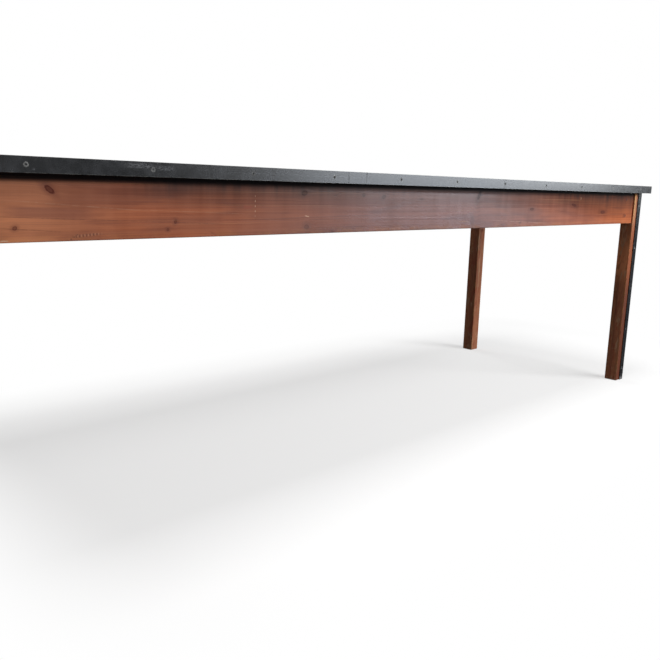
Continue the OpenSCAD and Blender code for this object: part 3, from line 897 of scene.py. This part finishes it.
def set_grain(obj, axes, shift):
    """Writes the attribute grain: the point's coordinates in the order of axes, moved by shift."""
    mesh = obj.data
    grain = mesh.attributes.new("grain", "FLOAT_VECTOR", "POINT")
    order = ["xyz".index(axis) for axis in axes]
    for vert, value in zip(mesh.vertices, grain.data):
        value.vector = [vert.co[i] + s for i, s in zip(order, shift)]


def heart_shift(rng, across_mid, through_mid):
    """A random stretch of a tree for a board: its place along the trunk, and how far the heart is."""
    return rng.uniform(-30, 30), rng.uniform(-0.05, 0.05) - across_mid, rng.uniform(0.03, 0.09) - through_mid


def worn_round(station, seed, ease, depth):
    """The round of an arris at a station, worn back from ease in shallow waves and a few deeper nicks."""
    wave = noise.noise(Vector((station / WAVE, seed, 0.5)))
    nick = noise.noise(Vector((station / (0.22 * WAVE), seed + 9.1, 4.5)))
    return ease + depth * (0.35 + 0.5 * abs(wave) + 1.4 * max(0.0, nick - 0.35))


def stations_between(low, high, spacing):
    count = max(2, round((high - low) / spacing))
    return [low + (high - low) * i / count for i in range(count + 1)]


def middle(node):
    low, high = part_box(node)
    return (low + high) / 2


# Boards


def plank(number, material):
    """A board of the top, with its groove on the left and its tongue on the right."""
    node = f"plank_{number}"
    low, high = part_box(node)
    rng = random.Random(40 + number)
    seed = number * 3.7
    grooved, tongued = number > 1, number < PLANKS
    reach = TONGUE if tongued else 0.0
    deep = (TONGUE + TONGUE_GAP) if grooved else 0.0
    width = high.y - reach - low.y
    top = high.z - low.z
    if grooved and tongued:
        top -= rng.uniform(0.05, 0.3) * MM

    def section(x):
        ease_l = worn_round(x, seed, *PLANK_EASE) if grooved else SIDE_EASE
        ease_r = worn_round(x, seed + 1.3, *PLANK_EASE) if tongued else SIDE_EASE
        cup = PLANK_CUP * abs(math.sin(x * 1.9 + seed))
        points = arc((0, 0), UP, SIDE, ease_l, 3)
        points += arc((width, 0), -SIDE, UP, ease_r, 3)
        points += unworn((width, TONGUE_LOW), (width + reach, TONGUE_LOW))
        points += unworn((width + reach, TONGUE_HIGH), (width, TONGUE_HIGH))
        points += arc((width, top), -UP, -SIDE, ease_r)
        points += between((width - ease_r, top - cup), (ease_l, top - cup), 5)
        points += arc((0, top), SIDE, -UP, ease_l)
        points += unworn((0, TONGUE_HIGH + TONGUE_GAP), (deep, TONGUE_HIGH + TONGUE_GAP))
        points += unworn((deep, TONGUE_LOW - TONGUE_GAP), (0, TONGUE_LOW - TONGUE_GAP))
        return points

    def world(x, point):
        return Vector((x, low.y + point.x, low.z + point.y))

    obj = sweep(node + "_worn", stations_between(low.x, high.x, PLANK_STEP), section, world)
    mid = middle(node)
    set_grain(obj, "xyz", heart_shift(rng, mid.y, mid.z))
    finish_piece(obj, material, node)


def apron(side, material):
    """An apron, without the tenons that the legs hide. Long ones run along X and short ones along Y."""
    node = f"apron_{side}"
    low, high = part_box(node)
    long_way = side in ("front", "back")
    run, cross = (0, 1) if long_way else (1, 0)
    outer, inward = (low[cross], 1) if side in ("front", "left") else (high[cross], -1)
    thick = high[cross] - low[cross]
    tall = high.z - low.z
    seed = 2.1 * SIDES.index(side) + 20

    def section(s):
        ease_o = worn_round(s, seed, *APRON_EASE)
        ease_i = worn_round(s, seed + 1.7, *APRON_EASE)
        points = arc((0, 0), UP, SIDE, ease_o)
        points += arc((thick, 0), -SIDE, UP, ease_i)
        points += unworn((thick, KERF_LOW), (thick - KERF_DEPTH, KERF_LOW))
        points += unworn((thick - KERF_DEPTH, KERF_HIGH), (thick, KERF_HIGH))
        points += unworn((thick, tall), (0, tall))
        points += between((0, tall), (0, ease_o), 6)
        return points

    def world(s, point):
        place = Vector((s, s, low.z + point.y))
        place[cross] = outer + inward * point.x
        return place

    stations = stations_between(low[run] + TENON, high[run] - TENON, APRON_STEP)
    obj = sweep(node + "_board", stations, section, world)
    mid = middle(node)
    if side == "front":
        shift = (0.0, 0.0, FRONT_HEART - mid[cross])
    else:
        shift = heart_shift(random.Random(side), mid.z, mid[cross])
    set_grain(obj, "xzy" if long_way else "yzx", shift)
    finish_piece(obj, material, node)


def leg(corner, material):
    """A leg, rounded where the steel's root sits, and cut flat for the hanger bolts behind the aprons."""
    node = f"leg_{corner}"
    low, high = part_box(node)
    x, x_way = (low.x, 1) if "left" in corner else (high.x, -1)
    y, y_way = (low.y, 1) if "front" in corner else (high.y, -1)
    wide = high.x - low.x
    flat_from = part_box("apron_front")[0].z
    seed = 5.3 * CORNERS.index(corner) + 50

    def section(z):
        near = max(0.0, FOOT_EASE - z)
        far = wide - near
        ease = [worn_round(z, seed + k, *LEG_EASE) for k in range(3)]
        bolt_side = LEG_FLAT if z > flat_from else ease[1]
        rounds = [
            arc((near, near), UP, SIDE, ROOT_CLEAR, 3), arc((far, near), -SIDE, UP, ease[0]),
            arc((far, far), -UP, -SIDE, bolt_side), arc((near, far), SIDE, -UP, ease[2]),
        ]
        points = []
        for made, following in zip(rounds, rounds[1:] + rounds[:1]):
            points += made + between(made[-1][0], following[0][0], 3)
        return points

    def world(z, point):
        return Vector((x + x_way * point.x, y + y_way * point.y, z))

    stations = [0.0, FOOT_EASE] + stations_between(12 * MM, flat_from, LEG_STEP)
    stations += [flat_from + 0.2 * MM] + stations_between(flat_from + 10 * MM, high.z, LEG_STEP)
    obj = sweep(node + "_post", stations, section, world)
    mid = middle(node)
    set_grain(obj, "zxy", heart_shift(random.Random(90 + CORNERS.index(corner)), mid.x, mid.y))
    finish_piece(obj, material, node)


def softened(node, width, material, grain=None):
    """A node's mesh with its sharp edges rounded, and wear 1 on the rounds."""
    bm = cad_mesh(node)
    bmesh.ops.dissolve_limit(bm, angle_limit=math.radians(0.5), verts=bm.verts, edges=bm.edges)
    layer = bm.verts.layers.float.new("wear")
    sharp = [edge for edge in bm.edges if edge.calc_face_angle(0) > math.radians(SHARP)]
    made = bmesh.ops.bevel(
        bm, geom=sharp, offset=width, segments=2, profile=0.5, affect="EDGES", clamp_overlap=True)
    for face in made["faces"]:
        for vert in face.verts:
            vert[layer] = 1.0
    obj = filled_object(node + "_soft", bm)
    if grain:
        set_grain(obj, *grain)
    finish_piece(obj, material, node)


# Screws

SCREW_SIDES = 24


def hexagon(angle):
    """How far a hexagon reaches at that angle, where its corners reach 1."""
    within = (angle + math.pi / 6) % (math.pi / 3) - math.pi / 6
    return math.cos(math.pi / 6) / math.cos(within)


def screw_profile(length):
    """Radius, height and wear of a countersunk screw's rings from its point to its socket's floor, and
    whether they are hexagons."""
    head, shank = SCREW_HEAD / 2, SCREW_SHANK / 2
    return (
        (shank * 0.2, -length, 0.0, False),
        (shank, -length + 2 * shank, 0.0, False),
        (shank, shank - head, 0.0, False),
        (head, -0.35 * MM, 0.3, False),
        (head, -0.12 * MM, 1.0, False),
        (head - 0.2 * MM, 0.0, 1.0, False),
        (head - 0.9 * MM, 0.0, 0.5, False),
        (SOCKET_R + 0.3 * MM, 0.0, 0.3, True),
        (SOCKET_R, -0.2 * MM, 0.0, True),
        (SOCKET_R, -SOCKET_DEPTH, 0.0, True),
    )


def add_screw(bm, layer, at, length, sink):
    """A countersunk screw with a hex socket. at is a matrix whose +Z points out of the head."""
    rings = []
    for radius, height, wear, hexed in screw_profile(length):
        ring = []
        for i in range(SCREW_SIDES):
            angle = 2 * math.pi * i / SCREW_SIDES
            reach = radius * hexagon(angle) if hexed else radius
            spot = Vector((reach * math.cos(angle), reach * math.sin(angle), height - sink))
            ring.append((at @ spot, wear))
        rings.append(ring)
    loft(bm, layer, rings)


def screws(name, node, length, material, sink=(0.15 * MM, 0.4 * MM)):
    """The screws of a node, each turned by chance and sunk by a length from sink's first to its second."""
    rng = random.Random(name)
    bm = bmesh.new()
    layer = bm.verts.layers.float.new("wear")
    for point, way in screw_places(node):
        facing = Matrix.Translation(point) @ way.to_track_quat("Z", "Y").to_matrix().to_4x4()
        turned_at = facing @ Matrix.Rotation(rng.uniform(0, math.pi), 4, "Z")
        add_screw(bm, layer, turned_at, length, rng.uniform(*sink))
    finish_piece(filled_object(name, bm), material, node)


def islands(node):
    """The boxes of a node's separate solids, in a steady order."""
    bm = cad_mesh(node)
    left = set(bm.verts)
    found = []
    while left:
        # The group grows while the loop goes through it
        group = [left.pop()]
        for vert in group:
            joined = {other for edge in vert.link_edges for other in edge.verts} & left
            left -= joined
            group += joined
        found.append([Vector([pick(v.co[i] for v in group) for i in range(3)]) for pick in (min, max)])
    bm.free()
    return sorted(found, key=lambda box: [round(c, 4) for c in box[0]])


def screw_places(node):
    """Where the heads of a node's screws are, and the way each faces: away from the table's middle."""
    for low, high in islands(node):
        size = high - low
        mid = (low + high) / 2
        axis = max(range(3), key=lambda i: size[i])
        way = Vector()
        way[axis] = math.copysign(1.0, mid[axis])
        yield mid + way * (size[axis] / 2), way


# Table


def make_materials():
    return dict(
        frame=pine("frame_pine", FRAME_LOOK),
        leg=pine("leg_pine", LEG_LOOK),
        apron=pine("apron_pine", APRON_LOOK, APRON_KNOTS),
        top=pine("top_pine", TOP_LOOK),
        inner=pine("inner_pine", INNER_LOOK),
        steel=black_steel("black_steel"),
        front_steel=black_steel("front_steel", marks=BAR_MARKS),
        screw=black_steel("screw_steel", rims=False, shine=170, dull=0.5),
        brace_screw=black_steel("brace_screw_steel", rims=False, shine=60, dull=0.85),
        zinc=zinc("zinc"),
    )


def build_side(side, made):
    """The apron of a side, the steel bar above it and the bar's screws."""
    front = side == "front"
    apron(side, made["apron" if front else "frame"])
    softened(f"edge_bar_{side}", STEEL_EASE, made["front_steel" if front else "steel"])
    screws(f"edge_screws_{side}_worn", f"edge_screws_{side}", BAR_SCREW, made["screw"],
           sink=(0.05 * MM, 0.22 * MM))


def build_corner(corner, made):
    """A leg, its steel angle with the screws, and the brace behind it."""
    leg(corner, made["leg"])
    softened(f"leg_angle_{corner}", STEEL_EASE, made["steel"])
    screws(f"leg_screws_{corner}_worn", f"leg_angle_screws_{corner}", ANGLE_SCREW, made["screw"])
    brace = f"corner_brace_{corner}"
    mid = middle(brace)
    shift = (3.0 * CORNERS.index(corner), -mid.z, INNER_HEART - mid.y)
    softened(brace, INNER_EASE, made["inner"], grain=("xzy", shift))


def build_table():
    made = make_materials()
    for number in range(1, PLANKS + 1):
        plank(number, made["top"])
    for side in SIDES:
        build_side(side, made)
    for corner in CORNERS:
        build_corner(corner, made)
    screws("brace_screws_worn", "brace_screws", BRACE_SCREW, made["brace_screw"],
           sink=(-0.15 * MM, -0.05 * MM))
    for number in range(1, BATTENS + 1):
        batten = f"batten_{number}"
        mid = middle(batten)
        shift = (5.0 * number, 0.01 * number - mid.x, INNER_HEART - mid.z)
        softened(batten, INNER_EASE, made["inner"], grain=("yxz", shift))
    for node in ZINC_NODES:
        slots = frame["nodes"][node].data.materials
        slots.clear()
        slots.append(made["zinc"])


# Stage

PLAIN = (1.0, 1.0, 1.0)
# Name, place, what it points at, width, height, how bright it would look where 1 is white, colour, and
# whether it shows in reflections only
LAMPS = (
    ("key", (1.9, -3.3, 2.8), (0.0, -0.3, 0.6), 3.0, 1.6, 12.5, PLAIN, False),
    ("card", (2.82, -2.42, 1.03), (0.27, -0.325, 1.03), 2.2, 0.56, 5.8, (0.87, 0.925, 0.985), True),
    ("sheen", (2.36, -2.33, 0.42), (0.66, -1.1, 0.42), 1.3, 0.4, 4.6, (0.74, 0.86, 1.05), True),
    ("overhead", (0.3, -0.2, 3.2), (0.3, -0.2, 0.0), 1.4, 1.0, 16.0, PLAIN, False),
    ("back", (1.6, 4.0, 2.6), (0.0, 0.3, 0.4), 2.4, 1.6, 4.5, PLAIN, False),
)
# Upright grey cards that only show in reflections: name, both ends of the lower edge, height of the upper
# edge, and grey
FLAGS = (
    ("flag_front", (0.4, -4, 0), (1.7, -4, 0), 4, 0.1),
    ("flag_left", (-7, -4, 0), (0.4, -4, 0), 4, 0.41),
    ("flag_low", (1.7, -3.8, 0), (4.6, -0.3, 0), 0.72, 0.03),
    ("flag_right", (3.6, -1.5, 0), (6, 1, 0), 4, 0.2),
    # A black card just below the steel edge, in front of the apron's top: painted shade in what that strip
    # mirrors
    ("flag_edge", (-1.3, -0.3785, 0.72), (1.3, -0.3785, 0.72), 0.7345, 0.0),
)
FLOOR_FLAG = ((-7, -4), (5, -0.385), 4 * MM)
FLOOR_FLAG_GREY = 0.05
WORLD_LEVEL = 0.05
# The stretch of floor that the table shades, the share of plain white in it, and how far round it that
# share grows to 1
SHADE_AT = (0.55, 0.05)
SHADE_HALF = (1.35, 0.5)
FLOOR_WHITE = 0.56
FLOOR_FAR = 0.4
FLOOR_COLOR = (0.9, 0.9, 0.9, 1)
# How pale the floor is to the light that it throws back up
FLOOR_BOUNCE = (0.12, 0.12, 0.12, 1)
FLOOR_HALF = 40.0
# The photograph's own view, solved from its straight edges, with turns in degrees
LENS = 40.21
CAMERA_AT = (-1.5503, -1.5983, 0.7285)
CAMERA_TURNS = ((-44.57, "Z"), (90 - 11.06, "X"), (1.68, "Z"))


def lamp(name, at, toward, wide, tall, radiance, color, gloss_only):
    light = bpy.data.lights.new(name, "AREA")
    light.shape = "RECTANGLE"
    light.size, light.size_y = wide, tall
    light.energy = radiance * math.pi * wide * tall
    light.color = color
    obj = new_object(name, light)
    obj.location = at
    obj.rotation_euler = (Vector(toward) - Vector(at)).to_track_quat("-Z", "Y").to_euler()
    obj.visible_camera = False
    obj.visible_diffuse = not gloss_only


def card(name, corners, material):
    mesh = bpy.data.meshes.new(name)
    mesh.from_pydata(corners, [], [(0, 1, 2, 3)])
    mesh.materials.append(material)
    obj = new_object(name, mesh)
    return obj


def flag(name, corners, grey):
    g = Graph(name)
    glow = g.node("Emission")
    glow.inputs[1].default_value = grey
    obj = card(name, corners, g.finish(glow))
    obj.visible_camera = obj.visible_diffuse = obj.visible_shadow = obj.visible_transmission = False


def level_corners(low, high, height):
    """The corners of a level rectangle from low to high."""
    return [(x, y, height) for x, y in (low, (high[0], low[1]), high, (low[0], high[1]))]


def upright_corners(start, end, top):
    return [start, end, (end[0], end[1], top), (start[0], start[1], top)]


def light_path(g):
    """The kinds of ray, and 1 for those that are seen straight, mirrored or through glass."""
    ray = g.node("LightPath").outputs
    return ray, g.most(ray["Is Camera Ray"], g.most(ray["Is Glossy Ray"], ray["Is Transmission Ray"]))


def set_world():
    """Dim light all round, and white for what is seen behind the table and mirrored in it."""
    g = Graph("studio", bpy.data.worlds)
    bpy.context.scene.world = g.owner
    _, seen = light_path(g)
    background = g.node("Background", (1, 1, 1, 1), g.step(seen, 0.0, 1.0, WORLD_LEVEL, 1.0))
    g.finish(background, "World")


def floor():
    """A pale floor that keeps the table's soft shadow and turns white further out."""
    g = Graph("floor")
    x, y, _ = g.split(g.place())
    beyond_x = g.most(g.sub(g.gap(x, SHADE_AT[0]), SHADE_HALF[0]), 0.0)
    beyond_y = g.most(g.sub(g.gap(y, SHADE_AT[1]), SHADE_HALF[1]), 0.0)
    distance = g.length(beyond_x, beyond_y)
    ray, seen = light_path(g)
    share = g.mul(g.step(distance, 0.0, FLOOR_FAR, FLOOR_WHITE, 1.0), seen)
    shade = g.mix(ray["Is Diffuse Ray"], FLOOR_COLOR, FLOOR_BOUNCE)
    diffuse = g.node("BsdfDiffuse", shade)
    white = g.node("Emission")
    mixed = g.node("MixShader", share, diffuse.outputs[0], white.outputs[0])
    corners = level_corners((-FLOOR_HALF, -FLOOR_HALF), (FLOOR_HALF, FLOOR_HALF), 0)
    card("floor", corners, g.finish(mixed))


def camera():
    data = bpy.data.cameras.new("view")
    data.lens = LENS
    obj = new_object("view", data)
    place = Matrix.Translation(CAMERA_AT)
    for turn, axis in CAMERA_TURNS:
        place = place @ Matrix.Rotation(math.radians(turn), 4, axis)
    obj.matrix_world = place
    bpy.context.scene.camera = obj


def build_stage():
    floor()
    set_world()
    for row in LAMPS:
        lamp(*row)
    for name, start, end, top, grey in FLAGS:
        flag(name, upright_corners(start, end, top), grey)
    flag("flag_floor", level_corners(*FLOOR_FLAG), FLOOR_FLAG_GREY)
    camera()
    bpy.context.scene.view_settings.view_transform = "Standard"


build_table()
flatten_faces()
build_stage()
